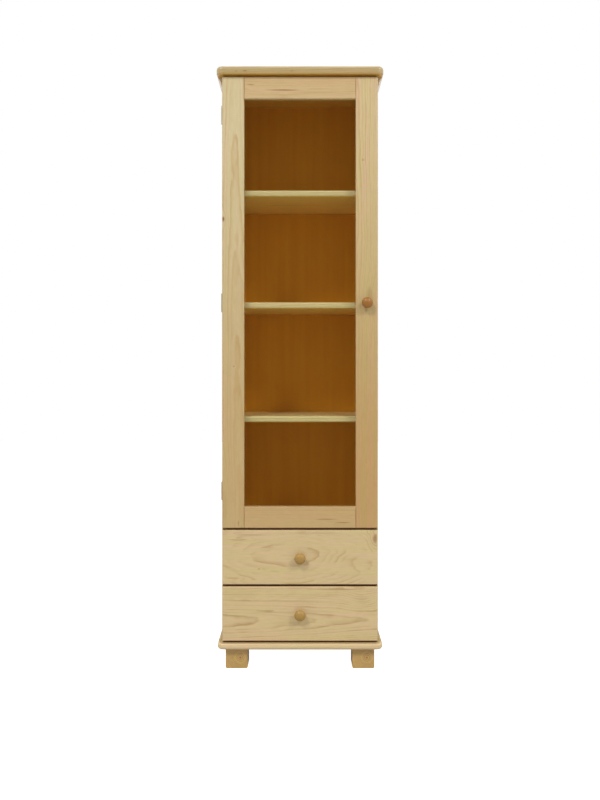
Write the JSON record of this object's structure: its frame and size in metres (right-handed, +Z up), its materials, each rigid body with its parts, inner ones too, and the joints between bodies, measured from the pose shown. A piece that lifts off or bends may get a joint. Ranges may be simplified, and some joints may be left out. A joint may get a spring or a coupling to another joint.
{
  "type": "display cabinet",
  "caption": "Tall narrow pine display cabinet on block feet, with a glazed door over shelves, drawers below on roller runners, and nosed top and base boards",
  "frame": {"origin": "on the floor, at the middle of the bounding box in plan, knobs counted", "axes": "+Z up, the front with the door and the drawers faces -Y, +X to the right seen from the front"},
  "size_m": [0.541, 0.396, 1.954],
  "materials": {
    "lacquered_pine": "clear satin lacquer on pale pine",
    "foot_pine": "satin lacquer over end grain",
    "turned_pine": "satin lacquer, a little darker than the boards",
    "brown_hardboard": "smooth brown hardboard",
    "clear_glass": "clear float glass",
    "plated_steel": "zinc plated, satin",
    "painted_steel": "off-white epoxy coat",
    "nylon": "moulded nylon",
    "brown_plastic": "moulded plastic round two steel pole plates",
    "soft_rubber": "soft clear dot"
  },
  "bodies": {
    "cabinet": {"back_panel": "brown_hardboard", "base_board": "lacquered_pine", "base_left_moulding": "lacquered_pine", "base_right_moulding": "lacquered_pine", "bumpers": "soft_rubber", "foot_screws": "plated_steel", "frame_hinge_leaves": "plated_steel", "frame_hinge_screws": "plated_steel", "front_left_foot": "foot_pine", "front_right_foot": "foot_pine", "hinge_pins": "plated_steel", "left_side_panel": "lacquered_pine", "lower_shelf": "lacquered_pine", "magnet_catch": "brown_plastic", "middle_board": "lacquered_pine", "middle_shelf": "lacquered_pine", "rear_left_foot": "foot_pine", "rear_right_foot": "foot_pine", "right_side_panel": "lacquered_pine", "runner_channels": "painted_steel", "shelf_pins": "plated_steel", "top_board": "lacquered_pine", "top_left_moulding": "lacquered_pine", "top_right_moulding": "lacquered_pine", "upper_shelf": "lacquered_pine"},
    "door": {"bottom_glazing_bead": "lacquered_pine", "door_bottom_rail": "lacquered_pine", "door_glass": "clear_glass", "door_hinge_leaves": "plated_steel", "door_hinge_screws": "plated_steel", "door_knob": "turned_pine", "door_knob_screw": "plated_steel", "door_left_stile": "lacquered_pine", "door_right_stile": "lacquered_pine", "door_top_rail": "lacquered_pine", "left_glazing_bead": "lacquered_pine", "right_glazing_bead": "lacquered_pine", "strike_plate": "plated_steel", "top_glazing_bead": "lacquered_pine"},
    "upper_drawer": {"upper_drawer_back": "lacquered_pine", "upper_drawer_bottom": "brown_hardboard", "upper_drawer_front": "lacquered_pine", "upper_drawer_knob": "turned_pine", "upper_drawer_knob_screw": "plated_steel", "upper_drawer_left_side": "lacquered_pine", "upper_drawer_rails": "painted_steel", "upper_drawer_right_side": "lacquered_pine"},
    "lower_drawer": {"lower_drawer_back": "lacquered_pine", "lower_drawer_bottom": "brown_hardboard", "lower_drawer_front": "lacquered_pine", "lower_drawer_knob": "turned_pine", "lower_drawer_knob_screw": "plated_steel", "lower_drawer_left_side": "lacquered_pine", "lower_drawer_rails": "painted_steel", "lower_drawer_right_side": "lacquered_pine"},
    "upper_front_rollers": {"upper_front_rollers": "nylon"},
    "lower_front_rollers": {"lower_front_rollers": "nylon"},
    "upper_rear_rollers": {"upper_rear_rollers": "nylon"},
    "lower_rear_rollers": {"lower_rear_rollers": "nylon"}
  },
  "joints": [
    {"name": "door_swing", "type": "hinge", "parent": "cabinet", "child": "door", "pos_m": [-0.255, -0.1465, 1.1895], "axis": [0, 0, -1], "range_deg": [0, 100]},
    {"name": "upper_drawer_slide", "type": "slide", "parent": "cabinet", "child": "upper_drawer", "axis": [0, -1, 0], "range_m": [0, 0.225]},
    {"name": "upper_front_roller_turn", "type": "hinge", "parent": "cabinet", "child": "upper_front_rollers", "pos_m": [0, -0.131, 0.2958], "axis": [1, 0, 0], "continuous": true},
    {"name": "upper_rear_roller_turn", "type": "hinge", "parent": "upper_drawer", "child": "upper_rear_rollers", "pos_m": [0, 0.141, 0.2968], "axis": [1, 0, 0], "continuous": true},
    {"name": "lower_drawer_slide", "type": "slide", "parent": "cabinet", "child": "lower_drawer", "axis": [0, -1, 0], "range_m": [0, 0.225]},
    {"name": "lower_front_roller_turn", "type": "hinge", "parent": "cabinet", "child": "lower_front_rollers", "pos_m": [0, -0.131, 0.1128], "axis": [1, 0, 0], "continuous": true},
    {"name": "lower_rear_roller_turn", "type": "hinge", "parent": "lower_drawer", "child": "lower_rear_rollers", "pos_m": [0, 0.141, 0.1138], "axis": [1, 0, 0], "continuous": true}
  ],
  "couplings": [
    {"joint": "upper_front_roller_turn", "follows": "upper_drawer_slide", "rad_per_m": 111.11},
    {"joint": "upper_rear_roller_turn", "follows": "upper_drawer_slide", "rad_per_m": 98.039},
    {"joint": "lower_front_roller_turn", "follows": "lower_drawer_slide", "rad_per_m": 111.11},
    {"joint": "lower_rear_roller_turn", "follows": "lower_drawer_slide", "rad_per_m": 98.039}
  ]
}
